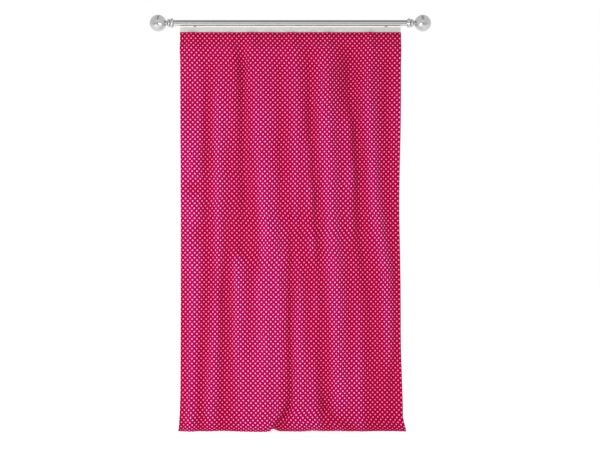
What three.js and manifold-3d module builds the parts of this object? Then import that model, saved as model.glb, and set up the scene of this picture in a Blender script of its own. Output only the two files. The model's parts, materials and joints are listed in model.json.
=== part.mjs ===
// A floor-length fabric curtain panel on a wall-mounted pole with an underslung glider rail.
//
// Frame, in millimetres: +Z is up, +X runs along the pole, and the wall is the plane y = 0 behind the
// curtain, so the room is on the -Y side. The origin is on the wall, midway between the two brackets, at
// the height of the pole's axis.
//
// How it goes together: two wall brackets carry the pole on saddles and the rail on T-slot clips. A fixed
// end stop and eleven gliders run in the rail. A hook hangs in each of their eyes and reaches up behind the
// heading tape, which is sewn to the back of the cloth. Drawing the curtain slides the gliders towards the
// end stop at -X, and the cloth can be swung out from the wall about the glider eyes.

import * as THREE from "three";
import { mergeVertices } from "three/addons/utils/BufferGeometryUtils.js";
import Module from "manifold-3d";

const wasm = await Module();
wasm.setup();

// ---- Driving dimensions ----

const GAP = 0.3; // left between pieces that touch

// Pole
const POLE_R = 17.5;
const POLE_WALL = 1.5;
const POLE_HALF = 680; // from the middle to a finial's shoulder
const POLE_Y = -95; // axis, in front of the wall

// Ball finials: distances along the axis are measured from the pole's end
const BALL_R = 48.5;
const BALL_WALL = 1.5;
const BALL_AT = 92;
const NECK_R = 14; // where the neck meets the ball
const NECK_END = 45.3;
const LARGE_BEAD = { at: 11, half: 9, foot: 20.5, crest: 28.8 };
const SMALL_BEAD = { at: 29.5, half: 8, foot: 17.5, crest: 24.2 };
const STUD_R = 4;
const STUD_INSIDE = 34; // how far the stud reaches into the pole
const SPIGOT_LENGTH = 40;
const SET_SCREW_R = 2.5;
const SET_SCREW_IN = 20; // from the pole's end to the set screw

// Glider rail: a rectangle with a T-slot open at the back and a glider chamber open below
const RAIL_TOP = -24;
const RAIL_BOTTOM = -52.3;
const RAIL_FRONT = -95.5;
const RAIL_BACK = -77.5;
const RAIL_WALL = 1.4;
const RAIL_WEB = -37.6; // middle of the web between the slot above and the chamber below
const RAIL_SLOT = 6; // width of both openings
const RAIL_HALF = 645; // from the middle to the outside of an end cap
const CAP_PLATE = 2.2;
const CAP_PLUG = 5;
const RAIL_Y = (RAIL_FRONT + RAIL_BACK) / 2;
const T_SLOT_Z = (RAIL_TOP + RAIL_WEB) / 2;
const LIP_TOP = RAIL_BOTTOM + RAIL_WALL; // the gliders ride on the lips beside the lower opening

// Brackets
const BRACKET_X = 560;
const PLATE = { width: 30, thick: 4, top: -26, bottom: -116, hole: 2.8, inset: 11 };
const UPRIGHT = { width: 16, front: -71, back: -67, top: 12, bottom: -52 };
const WEB_WIDTH = 8;
const BOLT = { shank: 2.5, head: 4.6, height: 3 };
const BOLT_CLEARANCE = 0.3;
const SADDLE_ANGLE = 38; // degrees each way that the saddle wraps the back of the pole

// Gliders and hooks
const GLIDERS = 11; // beside the fixed end stop
const END_HOOK_X = -630;
const HOOK_STEP = 1260 / GLIDERS;
const STOP_SCREW = { x: END_HOOK_X + 11, radius: 1.8 };
const EYE_Z = -58.5;
const EYE_R = 3;
const EYE_PLATE = { half: 5.5, thick: 2.4 };
const WIRE_R = 1;
const LOOP_HALF = 3.6; // from the eye plate's middle to each leg of the hook's loop
const SHANK_BOTTOM = -80;
const PRONG_Y = RAIL_Y - 8;
const PRONG_TOP = -69;

// Cloth: lengths down it are measured along the cloth from its top edge
const CLOTH_WIDTH = 1400; // cut width, hung a little gathered
const CLOTH_TOP = -54.5;
const CLOTH_FRONT = PRONG_Y - 3.5; // front face at the heading
const CLOTH_THICK = 1;
const FLOOR_Z = -2370;
const HEM_KICK = 130; // the last stretch, which turns forward onto the floor
const KICK_ANGLE = 80; // degrees from vertical at the hem's edge
const SIDE_HEM = 25;
const BOTTOM_HEM = 75;
const TAPE_FROM = 8;
const TAPE_TO = 34;
const TAPE_THICK = 0.9;
const HEM_THICK = 1;

// ---- Finishes ----

const FINISH = {
  nickel: { color: 0xb9b9bb, metalness: 1, roughness: 0.28 },
  rail: { color: 0xcdccc6, metalness: 0.1, roughness: 0.5 },
  steel: { color: 0xa9abad, metalness: 1, roughness: 0.4 },
  lacquer: { color: 0xf0f0ed, metalness: 0, roughness: 0.45 },
  nylon: { color: 0xf1f1ec, metalness: 0, roughness: 0.5 },
  cloth: { color: 0xb01048, metalness: 0, roughness: 0.85 },
  tape: { color: 0xeeece6, metalness: 0, roughness: 0.9 },
};

const curtain = new THREE.Group();

function addPiece(name, finish, geometry) {
  const mesh = new THREE.Mesh(geometry, new THREE.MeshStandardMaterial(FINISH[finish]));
  mesh.name = name;
  curtain.add(mesh);
}

// ---- Solid helpers ----

const degrees = THREE.MathUtils.degToRad;

// A geometry as a manifold-3d solid, for cutting and joining.
function solid(geometry) {
  const bare = geometry.index ? geometry.toNonIndexed() : geometry.clone();
  bare.deleteAttribute("normal");
  bare.deleteAttribute("uv");
  const merged = mergeVertices(bare, 1e-4);
  return new wasm.Manifold(
    new wasm.Mesh({
      numProp: 3,
      vertProperties: new Float32Array(merged.attributes.position.array),
      triVerts: new Uint32Array(merged.index.array),
    }),
  );
}

function geometryOf(made) {
  const mesh = made.getMesh();
  const geometry = new THREE.BufferGeometry();
  geometry.setAttribute("position", new THREE.BufferAttribute(mesh.vertProperties, 3));
  geometry.setIndex(new THREE.BufferAttribute(mesh.triVerts, 1));
  geometry.computeVertexNormals();
  return geometry;
}

const joined = (first, ...others) => geometryOf(others.reduce((all, g) => all.add(solid(g)), solid(first)));
const cut = (body, ...tools) => geometryOf(tools.reduce((all, g) => all.subtract(solid(g)), solid(body)));

// A box between two corners.
function box([x0, y0, z0], [x1, y1, z1]) {
  const made = new THREE.BoxGeometry(x1 - x0, y1 - y0, z1 - z0);
  return made.translate((x0 + x1) / 2, (y0 + y1) / 2, (z0 + z1) / 2);
}

// A profile of [radius, distance] pairs turned about the pole's axis, outwards from startX on one side.
function turned(profile, side, startX, segments = 20) {
  const points = profile.map(([r, a]) => new THREE.Vector2(r, a));
  return new THREE.LatheGeometry(points, segments)
    .rotateZ((-side * Math.PI) / 2)
    .translate(side * startX, POLE_Y, 0);
}

// A cylinder along Y between two y values.
function pinAlongY(x, z, radius, y0, y1, sides = 16) {
  return new THREE.CylinderGeometry(radius, radius, y1 - y0, sides).translate(x, (y0 + y1) / 2, z);
}

// A cylinder along Z between two z values.
function pinAlongZ(x, y, radius, z0, z1, sides = 16) {
  return new THREE.CylinderGeometry(radius, radius, z1 - z0, sides)
    .rotateX(Math.PI / 2)
    .translate(x, y, (z0 + z1) / 2);
}

// An outline of [y, z] pairs, extruded along X from x0 to x1.
function extrudedAlongX(outline, x0, x1) {
  const shape = new THREE.Shape(outline.map(([y, z]) => new THREE.Vector2(y, z)));
  const geometry = new THREE.ExtrudeGeometry(shape, { depth: x1 - x0, bevelEnabled: false });
  const toRow = new THREE.Matrix4().makeBasis(
    new THREE.Vector3(0, 1, 0),
    new THREE.Vector3(0, 0, 1),
    new THREE.Vector3(1, 0, 0),
  );
  return geometry.applyMatrix4(toRow).translate(x0, 0, 0);
}

// Points of an arc as [first, second] pairs, angles in degrees.
function arc(centre, radius, from, to, steps) {
  const at = (i) => degrees(from + ((to - from) * i) / steps);
  return Array.from({ length: steps + 1 }, (_, i) => [
    centre[0] + radius * Math.cos(at(i)),
    centre[1] + radius * Math.sin(at(i)),
  ]);
}

// ---- Pole and finials ----

function poleTube() {
  const ring = new THREE.Shape().absarc(0, 0, POLE_R, 0, 2 * Math.PI);
  ring.holes.push(new THREE.Path().absarc(0, 0, POLE_R - POLE_WALL, 0, 2 * Math.PI));
  const along = { depth: 2 * POLE_HALF, bevelEnabled: false, curveSegments: 14 };
  const tube = new THREE.ExtrudeGeometry(ring, along)
    .rotateY(Math.PI / 2)
    .translate(-POLE_HALF, POLE_Y, 0);
  const holes = [-1, 1].flatMap((side) => [
    pinAlongZ(side * (POLE_HALF - SET_SCREW_IN), POLE_Y, SET_SCREW_R + GAP, -POLE_R - 2, -POLE_R + 4),
    pinAlongY(side * BRACKET_X, 0, BOLT.shank + BOLT_CLEARANCE, POLE_Y + 10, POLE_Y + 20),
  ]);
  return cut(tube, ...holes);
}

// A rounded bead on the neck's outline.
function bead({ at, half, foot, crest }, steps = 6) {
  return Array.from({ length: steps + 1 }, (_, i) => {
    const turn = (Math.PI * i) / steps;
    return [foot + (crest - foot) * Math.sin(turn), at - half * Math.cos(turn)];
  });
}

function neck(side) {
  const bore = STUD_R + GAP;
  const outline = [
    [bore, GAP],
    [LARGE_BEAD.foot, GAP],
    ...bead(LARGE_BEAD),
    ...bead(SMALL_BEAD),
    [NECK_R, SMALL_BEAD.at + SMALL_BEAD.half + 2],
    [NECK_R, NECK_END],
    [bore, NECK_END],
    [bore, GAP],
  ];
  return turned(outline, side, POLE_HALF);
}

// A spun hollow ball with a flat land and a threaded boss where the stud enters.
function ball(side) {
  const land = BALL_AT - Math.sqrt(BALL_R ** 2 - NECK_R ** 2);
  const inner = BALL_R - BALL_WALL;
  const bore = STUD_R + GAP;
  const boss = { radius: 9, end: 58 };
  const tilt = (radius, r) => 180 - THREE.MathUtils.radToDeg(Math.asin(r / radius));
  const sphere = (radius, stop, steps) =>
    arc([BALL_AT, 0], radius, 0, tilt(radius, stop), steps).map(([a, r]) => [Math.max(r, 0), a]);
  const outline = [
    ...sphere(BALL_R, NECK_R, 10),
    [bore, land],
    [bore, boss.end],
    [boss.radius, boss.end],
    ...sphere(inner, boss.radius, 6).reverse(),
  ];
  return turned(outline.reverse(), side, POLE_HALF, 24);
}

function spigot(side) {
  const radius = POLE_R - POLE_WALL - GAP;
  const bore = STUD_R + GAP;
  const outline = [
    [bore, 0],
    [bore, -SPIGOT_LENGTH],
    [radius - 1.5, -SPIGOT_LENGTH],
    [radius, -SPIGOT_LENGTH + 1.5],
    [radius, 0],
    [bore, 0],
  ];
  const at = side * (POLE_HALF - SET_SCREW_IN);
  return cut(turned(outline, side, POLE_HALF), pinAlongZ(at, POLE_Y, SET_SCREW_R + GAP, -POLE_R - 2, -7));
}

function stud(side) {
  const end = BALL_AT - BALL_R + 12;
  const outline = [
    [0, -STUD_INSIDE],
    [STUD_R - 1, -STUD_INSIDE],
    [STUD_R, 1 - STUD_INSIDE],
    [STUD_R, end - 1],
    [STUD_R - 1, end],
    [0, end],
  ];
  return turned(outline, side, POLE_HALF, 14);
}

function setScrew(side) {
  const at = side * (POLE_HALF - SET_SCREW_IN);
  const body = pinAlongZ(at, POLE_Y, SET_SCREW_R, -POLE_R + 0.2, -7 - GAP);
  const socket = pinAlongZ(at, POLE_Y, SET_SCREW_R / 2, -POLE_R - 1, -POLE_R + 2.5, 6);
  return cut(body, socket);
}

// ---- Rail ----

// The rail's section as one outline, from the top front corner down, round the chamber and the T-slot.
function railSection() {
  const front = RAIL_FRONT + RAIL_WALL;
  const back = RAIL_BACK - RAIL_WALL;
  const half = RAIL_SLOT / 2;
  const web = RAIL_WALL / 2;
  return [
    [RAIL_FRONT, RAIL_TOP],
    [RAIL_FRONT, RAIL_BOTTOM],
    [RAIL_Y - half, RAIL_BOTTOM],
    [RAIL_Y - half, LIP_TOP],
    [front, LIP_TOP],
    [front, RAIL_WEB - web],
    [back, RAIL_WEB - web],
    [back, LIP_TOP],
    [RAIL_Y + half, LIP_TOP],
    [RAIL_Y + half, RAIL_BOTTOM],
    [RAIL_BACK, RAIL_BOTTOM],
    [RAIL_BACK, T_SLOT_Z - half],
    [back, T_SLOT_Z - half],
    [back, RAIL_WEB + web],
    [front, RAIL_WEB + web],
    [front, RAIL_TOP - RAIL_WALL],
    [back, RAIL_TOP - RAIL_WALL],
    [back, T_SLOT_Z + half],
    [RAIL_BACK, T_SLOT_Z + half],
    [RAIL_BACK, RAIL_TOP],
  ];
}

function endCap(side) {
  const inside = RAIL_HALF - CAP_PLATE;
  const between = (from, to) => [Math.min(side * from, side * to), Math.max(side * from, side * to)];
  const [plate0, plate1] = between(inside, RAIL_HALF);
  const [plug0, plug1] = between(inside - CAP_PLUG, inside + 1);
  const clear = RAIL_WALL + GAP;
  return joined(
    box([plate0, RAIL_FRONT, RAIL_BOTTOM], [plate1, RAIL_BACK, RAIL_TOP]),
    box([plug0, RAIL_FRONT + clear, RAIL_WEB + clear], [plug1, RAIL_BACK - clear, RAIL_TOP - clear]),
    box([plug0, RAIL_FRONT + clear, LIP_TOP + GAP], [plug1, RAIL_BACK - clear, RAIL_WEB - clear]),
  );
}

// ---- Brackets ----

function wallPlate(x) {
  const half = PLATE.width / 2;
  const round = 6;
  const corner = (cx, cz, from) => arc([cx, cz], round, from, from + 90, 4);
  const outline = [
    ...corner(half - round, PLATE.top - round, 0),
    ...corner(-half + round, PLATE.top - round, 90),
    ...corner(-half + round, PLATE.bottom + round, 180),
    ...corner(half - round, PLATE.bottom + round, 270),
  ];
  const shape = new THREE.Shape(outline.map(([u, v]) => new THREE.Vector2(u, v)));
  const plate = new THREE.ExtrudeGeometry(shape, { depth: PLATE.thick, bevelEnabled: false })
    .rotateX(Math.PI / 2)
    .translate(x, 0, 0);
  const holes = [PLATE.top - PLATE.inset, PLATE.bottom + PLATE.inset].flatMap((z) => [
    pinAlongY(x, z, PLATE.hole, -PLATE.thick - 1, 1),
    new THREE.CylinderGeometry(PLATE.hole, PLATE.hole * 2, PLATE.hole, 16).translate(x, -PLATE.thick + 1, z),
  ]);
  return cut(plate, ...holes);
}

// The cast arm: a foot on the wall plate, a tapering web, and an upright that carries the pole and the rail.
function bracketArm(x) {
  const foot = { back: -PLATE.thick - GAP, thick: 4, top: -46, bottom: -98 };
  const half = UPRIGHT.width / 2;
  const web = [
    [foot.back - 1, foot.top],
    [foot.back - 1, foot.bottom + 4],
    [-14, -84],
    [-30, -66],
    [-50, -56],
    [UPRIGHT.back - 1, UPRIGHT.bottom],
    [UPRIGHT.back - 1, -38],
    [-50, -41],
    [-14, -43],
  ];
  const arm = joined(
    box([x - half, foot.back - foot.thick, foot.bottom], [x + half, foot.back, foot.top]),
    box([x - half, UPRIGHT.front, UPRIGHT.bottom], [x + half, UPRIGHT.back, UPRIGHT.top]),
    extrudedAlongX(web, x - WEB_WIDTH / 2, x + WEB_WIDTH / 2),
  );
  const holes = [0, T_SLOT_Z].map((z) =>
    pinAlongY(x, z, BOLT.shank + BOLT_CLEARANCE, UPRIGHT.front - 1, UPRIGHT.back + 1),
  );
  return cut(arm, ...holes);
}

function poleSaddle(x) {
  const back = UPRIGHT.front - GAP;
  const wrap = arc([POLE_Y, 0], POLE_R + GAP, SADDLE_ANGLE, -SADDLE_ANGLE, 8);
  const outline = [[back, -12], [back, 12], ...wrap];
  const half = UPRIGHT.width / 2;
  return cut(
    extrudedAlongX(outline, x - half, x + half),
    pinAlongY(x, 0, BOLT.shank + BOLT_CLEARANCE, POLE_Y, UPRIGHT.back),
  );
}

// A T-slot clip: a spacer behind the rail, a neck through its slot and a head inside.
function railClip(x) {
  const inner = RAIL_BACK - RAIL_WALL - GAP;
  const clip = joined(
    box([x - 8, RAIL_BACK + GAP, T_SLOT_Z - 6], [x + 8, UPRIGHT.front - GAP, T_SLOT_Z + 6]),
    box([x - 5, inner - 1, T_SLOT_Z - 2.7], [x + 5, RAIL_BACK + 1, T_SLOT_Z + 2.7]),
    box([x - 5, inner - 2.5, T_SLOT_Z - 4.9], [x + 5, inner, T_SLOT_Z + 4.9]),
  );
  return cut(clip, pinAlongY(x, T_SLOT_Z, BOLT.shank + BOLT_CLEARANCE, RAIL_FRONT, UPRIGHT.back));
}

// A pan-head bolt that enters the upright from behind and reaches forward to endY.
function bolt(x, z, endY) {
  const start = UPRIGHT.back + GAP;
  const head = BOLT.height;
  const outline = [
    [0, start + head],
    [BOLT.head - 1.2, start + head],
    [BOLT.head, start + head - 1.2],
    [BOLT.head, start],
    [BOLT.shank, start],
    [BOLT.shank, endY + 0.6],
    [BOLT.shank - 0.6, endY],
    [0, endY],
  ];
  const points = outline.map(([r, y]) => new THREE.Vector2(r, y)).reverse();
  const body = new THREE.LatheGeometry(points, 12).translate(x, 0, z);
  const recess = new THREE.CylinderGeometry(1.6, 1.6, 3, 6).translate(x, start + head, z);
  return cut(body, recess);
}

// ---- Gliders and hooks ----

// The hanging eye and its neck, which goes up through the rail's lower opening to a head of a given length.
function glider(x, headFrom, headTo) {
  const { half, thick } = EYE_PLATE;
  const top = RAIL_BOTTOM - 0.6;
  const lobe = arc([0, EYE_Z], half, 180, 360, 8);
  const outline = [[-half, top], ...lobe, [half, top]];
  const shape = new THREE.Shape(outline.map(([u, v]) => new THREE.Vector2(u, v)));
  shape.holes.push(new THREE.Path().absarc(0, EYE_Z, EYE_R, 0, 2 * Math.PI));
  const eye = new THREE.ExtrudeGeometry(shape, { depth: thick, bevelEnabled: false, curveSegments: 7 })
    .rotateX(Math.PI / 2)
    .translate(x, RAIL_Y + thick / 2, 0);
  const underHead = LIP_TOP + GAP;
  return joined(
    eye,
    box([x - 4, RAIL_Y - 2.3, top - 0.8], [x + 4, RAIL_Y + 2.3, underHead + 1]),
    box([x + headFrom, RAIL_Y - 6.7, underHead], [x + headTo, RAIL_Y + 6.7, underHead + 3]),
  );
}

// Bent wire: an open loop over the lower rim of the eye, a shank, and a prong behind the heading tape.
function hook(x) {
  const top = EYE_Z - EYE_R + WIRE_R + GAP;
  const turnR = 1.8;
  const legs = LOOP_HALF - turnR;
  const shankY = RAIL_Y - LOOP_HALF;
  const bendR = (shankY - PRONG_Y) / 2;
  const path = [
    [RAIL_Y + LOOP_HALF, top - 8],
    [RAIL_Y + LOOP_HALF, top - 4.5],
    ...arc([RAIL_Y + legs, top - turnR], turnR, 0, 90, 3),
    ...arc([RAIL_Y - legs, top - turnR], turnR, 90, 180, 3),
    [shankY, top - 8],
    [shankY, SHANK_BOTTOM + 4],
    ...arc([(shankY + PRONG_Y) / 2, SHANK_BOTTOM], bendR, 0, -180, 5),
    [PRONG_Y, (SHANK_BOTTOM + PRONG_TOP) / 2],
    [PRONG_Y, PRONG_TOP],
  ];
  const curve = new THREE.CatmullRomCurve3(
    path.map(([y, z]) => new THREE.Vector3(0, y, z)),
    false,
    "centripetal",
  );
  const section = new THREE.Shape(arc([0, 0], WIRE_R, 0, 300, 5).map(([u, v]) => new THREE.Vector2(u, v)));
  const along = { steps: 20, extrudePath: curve, bevelEnabled: false };
  return new THREE.ExtrudeGeometry(section, along).translate(x, 0, 0);
}

// A glider with a longer head, clamped in the rail by its screw.
function endStop() {
  const hole = pinAlongZ(STOP_SCREW.x, RAIL_Y, STOP_SCREW.radius + GAP, RAIL_BOTTOM - 2, LIP_TOP + 6, 10);
  return cut(glider(END_HOOK_X, -6, STOP_SCREW.x - END_HOOK_X + 4), hole);
}

function endStopScrew() {
  return pinAlongZ(STOP_SCREW.x, RAIL_Y, STOP_SCREW.radius, RAIL_BOTTOM - 1, LIP_TOP + GAP + 2.4, 10);
}

// ---- Cloth ----

// Soft folds that run down the cloth. Each is a ridge towards the room (positive depth) or a valley,
// at x = from near the top and x = to near the floor, strongest at the height peak and fading over reach.
const FOLDS = [
  { from: -600, to: -606, width: 40, depth: 16, peak: -1100, reach: 1100 },
  { from: -492, to: -520, width: 34, depth: -24, peak: -800, reach: 900 },
  { from: -446, to: -468, width: 40, depth: 26, peak: -1400, reach: 1300 },
  { from: -360, to: -372, width: 44, depth: -12, peak: -1700, reach: 900 },
  { from: -286, to: -262, width: 38, depth: -26, peak: -500, reach: 900 },
  { from: -190, to: -150, width: 60, depth: 20, peak: -1300, reach: 1300 },
  { from: -70, to: -98, width: 46, depth: -16, peak: -1500, reach: 1200 },
  { from: 18, to: 28, width: 34, depth: 24, peak: -800, reach: 1100 },
  { from: -14, to: -2, width: 26, depth: -22, peak: -1900, reach: 800 },
  { from: 96, to: 130, width: 40, depth: -24, peak: -900, reach: 1200 },
  { from: 176, to: 270, width: 48, depth: 30, peak: -1400, reach: 1700 },
  { from: 330, to: 470, width: 54, depth: -28, peak: -900, reach: 1400 },
  { from: 440, to: 572, width: 44, depth: 26, peak: -1400, reach: 1300 },
  { from: 560, to: 612, width: 34, depth: -20, peak: -1800, reach: 1100 },
];

const smooth = (low, high, value) => {
  const t = THREE.MathUtils.clamp((value - low) / (high - low), 0, 1);
  return t * t * (3 - 2 * t);
};

// How far the cloth stands towards the room at a place: flat where the tape holds it, folded below.
function foldDepth(x, z) {
  const free = smooth(-95, -420, z);
  const down = (z - CLOTH_TOP) / (FLOOR_Z - CLOTH_TOP);
  const total = FOLDS.reduce((sum, fold) => {
    const centre = THREE.MathUtils.lerp(fold.from, fold.to, down);
    const across = Math.exp(-(((x - centre) / fold.width) ** 2));
    const along = Math.exp(-(((z - fold.peak) / fold.reach) ** 2));
    return sum + fold.depth * across * along;
  }, 0);
  return free * total;
}

// How far the cloth goes forward and down in the first stretch of the turn onto the floor.
function turnedHem(stretch) {
  const steps = 24;
  let forward = 0;
  let drop = 0;
  for (let i = 0; i < steps; i++) {
    const turn = degrees(KICK_ANGLE) * ((stretch * (i + 0.5)) / steps / HEM_KICK) ** 1.3;
    forward += (Math.sin(turn) * stretch) / steps;
    drop += (Math.cos(turn) * stretch) / steps;
  }
  return { forward, drop };
}

const STRAIGHT = CLOTH_TOP - FLOOR_Z - turnedHem(HEM_KICK).drop - CLOTH_THICK - HEM_THICK - 2 * GAP;
const CLOTH_LENGTH = STRAIGHT + HEM_KICK;

// The side view of the hanging cloth: straight down, then turning forward onto the floor.
function hangAt(down) {
  const { forward, drop } = turnedHem(Math.max(0, down - STRAIGHT));
  return { forward, z: CLOTH_TOP - Math.min(down, STRAIGHT) - drop };
}

// A point of the cloth's front face: across is 0 to CLOTH_WIDTH, down is along the cloth.
function clothPoint(across, down) {
  const { forward, z } = hangAt(down);
  const share = down / CLOTH_LENGTH;
  const waist = 7 * Math.sin(Math.PI * Math.min(1, share * 1.15));
  const flare = 22 * smooth(0.72, 1, share);
  const left = -RAIL_HALF + waist - flare * 0.25;
  const right = RAIL_HALF - waist + flare;
  const x = THREE.MathUtils.lerp(left, right, across / CLOTH_WIDTH);
  return new THREE.Vector3(x, CLOTH_FRONT - forward - foldDepth(x, z), z);
}

// Away from the room, square to the cloth.
function clothNormal(across, down) {
  const d = 2;
  const alongX = clothPoint(across + d, down).sub(clothPoint(across - d, down));
  const alongZ = clothPoint(across, Math.max(0, down - d)).sub(clothPoint(across, down + d));
  return alongZ.cross(alongX).normalize();
}

function spread(from, to, count) {
  return Array.from({ length: count + 1 }, (_, i) => from + ((to - from) * i) / count);
}

const HEM_START = CLOTH_LENGTH - BOTTOM_HEM;
const ACROSS = [0, ...spread(SIDE_HEM, CLOTH_WIDTH - SIDE_HEM, 36), CLOTH_WIDTH];
const DOWN = [
  0,
  TAPE_FROM,
  TAPE_TO,
  ...spread(90, STRAIGHT, 8),
  CLOTH_LENGTH - 100,
  HEM_START - 1.5,
  ...spread(HEM_START, CLOTH_LENGTH, 3),
];

// A closed layer of cloth over grid lines i0..i1 across and j0..j1 down, that starts offset behind the front
// face. Layers share the grid, so their facets stay parallel.
function layer([i0, i1], [j0, j1], offset, thick) {
  const positions = [];
  const place = (i, j, depth) => {
    const at = clothPoint(ACROSS[i], DOWN[j]);
    positions.push(...at.addScaledVector(clothNormal(ACROSS[i], DOWN[j]), depth).toArray());
    return positions.length / 3 - 1;
  };
  const grid = (depth) => {
    const rows = [];
    for (let j = j0; j <= j1; j++) {
      const row = [];
      for (let i = i0; i <= i1; i++) row.push(place(i, j, depth));
      rows.push(row);
    }
    return rows;
  };
  const front = grid(offset);
  const back = grid(offset + thick);
  const faces = [];
  const quad = (a, b, c, d) => faces.push(a, b, c, a, c, d);
  const mirrored = (a, b, c, d) => faces.push(a, c, b, a, d, c);
  const rows = j1 - j0;
  const columns = i1 - i0;
  for (let j = 0; j < rows; j++) {
    for (let i = 0; i < columns; i++) {
      quad(front[j + 1][i], front[j + 1][i + 1], front[j][i + 1], front[j][i]);
      mirrored(back[j + 1][i], back[j + 1][i + 1], back[j][i + 1], back[j][i]);
    }
  }
  for (let j = 0; j < rows; j++) {
    quad(front[j][0], back[j][0], back[j + 1][0], front[j + 1][0]);
    quad(front[j + 1][columns], back[j + 1][columns], back[j][columns], front[j][columns]);
  }
  for (let i = 0; i < columns; i++) {
    quad(front[0][i], front[0][i + 1], back[0][i + 1], back[0][i]);
    quad(front[rows][i + 1], front[rows][i], back[rows][i], back[rows][i + 1]);
  }
  const geometry = new THREE.BufferGeometry();
  geometry.setAttribute("position", new THREE.Float32BufferAttribute(positions, 3));
  geometry.setIndex(faces);
  geometry.computeVertexNormals();
  return geometry;
}

// ---- Assembly ----

const RAIL_CUT_HALF = RAIL_HALF - CAP_PLATE - GAP;
addPiece("pole_tube", "nickel", poleTube());
addPiece("glider_rail", "rail", extrudedAlongX(railSection(), -RAIL_CUT_HALF, RAIL_CUT_HALF));

for (const [side, end] of [
  [-1, "left"],
  [1, "right"],
]) {
  addPiece(`finial_ball_${end}`, "nickel", ball(side));
  addPiece(`finial_neck_${end}`, "nickel", neck(side));
  addPiece(`finial_spigot_${end}`, "steel", spigot(side));
  addPiece(`finial_stud_${end}`, "steel", stud(side));
  addPiece(`finial_set_screw_${end}`, "steel", setScrew(side));
  addPiece(`rail_end_cap_${end}`, "nylon", endCap(side));
  const x = side * BRACKET_X;
  addPiece(`wall_plate_${end}`, "lacquer", wallPlate(x));
  addPiece(`bracket_arm_${end}`, "lacquer", bracketArm(x));
  addPiece(`pole_saddle_${end}`, "lacquer", poleSaddle(x));
  addPiece(`pole_bolt_${end}`, "steel", bolt(x, 0, POLE_Y + 12));
  addPiece(`rail_clip_${end}`, "nylon", railClip(x));
  addPiece(`rail_bolt_${end}`, "steel", bolt(x, T_SLOT_Z, RAIL_BACK - 7));
}

addPiece("end_stop", "nylon", endStop());
addPiece("end_stop_screw", "steel", endStopScrew());
for (let n = 0; n <= GLIDERS; n++) {
  const x = END_HOOK_X + n * HOOK_STEP;
  const number = String(n).padStart(2, "0");
  if (n > 0) addPiece(`glider_${number}`, "nylon", glider(x, -6, 6));
  addPiece(`curtain_hook_${number}`, "nylon", hook(x));
}

const LAST_ACROSS = ACROSS.length - 1;
const LAST_DOWN = DOWN.length - 1;
const HEM_LINE = DOWN.indexOf(HEM_START);
const BEHIND = CLOTH_THICK + GAP;
const SIDE_HEM_ROWS = [0, HEM_LINE - 1];
addPiece("curtain_cloth", "cloth", layer([0, LAST_ACROSS], [0, LAST_DOWN], 0, CLOTH_THICK));
addPiece("heading_tape", "tape", layer([1, LAST_ACROSS - 1], [1, 2], BEHIND, TAPE_THICK));
addPiece("side_hem_left", "cloth", layer([0, 1], SIDE_HEM_ROWS, BEHIND, HEM_THICK));
addPiece("side_hem_right", "cloth", layer([LAST_ACROSS - 1, LAST_ACROSS], SIDE_HEM_ROWS, BEHIND, HEM_THICK));
addPiece("bottom_hem", "cloth", layer([0, LAST_ACROSS], [HEM_LINE, LAST_DOWN], BEHIND, HEM_THICK));

export default curtain;
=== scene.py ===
# A floor-length polka-dot curtain panel under a pole with ball finials.
#
# Units are metres. +Z is up, +X runs along the pole, the wall is the plane y = 0 and the room is on the -Y
# side. The hard parts keep the shape of the frame's nodes, with finer curves and softened edges. The cloth is
# one sheet laid out in flat metres, then gathered row by row into its folds.

import contextlib
import json
import math

import bmesh
import bpy
import numpy as np
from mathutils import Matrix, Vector

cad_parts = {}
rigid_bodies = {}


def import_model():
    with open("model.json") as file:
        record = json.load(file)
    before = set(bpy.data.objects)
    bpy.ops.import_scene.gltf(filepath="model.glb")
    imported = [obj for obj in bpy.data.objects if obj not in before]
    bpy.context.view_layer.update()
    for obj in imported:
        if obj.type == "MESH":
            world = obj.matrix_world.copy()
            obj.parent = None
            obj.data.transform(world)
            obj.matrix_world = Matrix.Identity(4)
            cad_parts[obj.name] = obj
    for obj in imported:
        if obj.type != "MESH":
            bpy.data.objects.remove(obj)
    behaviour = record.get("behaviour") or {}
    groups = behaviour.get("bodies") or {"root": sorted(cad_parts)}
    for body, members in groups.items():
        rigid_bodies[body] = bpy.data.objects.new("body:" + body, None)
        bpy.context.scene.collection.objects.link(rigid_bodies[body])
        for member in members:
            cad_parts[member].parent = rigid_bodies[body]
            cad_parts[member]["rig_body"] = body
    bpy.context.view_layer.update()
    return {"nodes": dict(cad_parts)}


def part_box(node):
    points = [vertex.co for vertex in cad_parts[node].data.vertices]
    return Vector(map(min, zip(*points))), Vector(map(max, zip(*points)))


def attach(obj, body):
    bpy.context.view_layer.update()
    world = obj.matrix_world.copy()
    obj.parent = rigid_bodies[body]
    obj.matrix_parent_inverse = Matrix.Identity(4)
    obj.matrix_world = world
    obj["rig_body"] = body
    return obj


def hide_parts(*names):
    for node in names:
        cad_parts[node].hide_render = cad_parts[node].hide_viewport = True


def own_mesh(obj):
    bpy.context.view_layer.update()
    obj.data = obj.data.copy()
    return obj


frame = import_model()

# ---- Sizes shared with the frame ----

POLE_Y = -0.095
POLE_R = 0.0175
POLE_WALL = 0.0015
POLE_HALF = 0.680
BALL_R = 0.0485
BALL_AT = 0.092  # from the pole's end to the ball's centre
NECK_R = 0.014

RAIL_Y = -0.0865
RAIL_HALF = 0.6425
RAIL_BOTTOM = -0.0523
EYE_Z = -0.0585
EYE_R = 0.003
HOOKS = 12
FIRST_HOOK_X = -0.63
HOOK_STEP = 1.26 / 11
WIRE_R = 0.001
PRONG_Y = -0.0945

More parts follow.
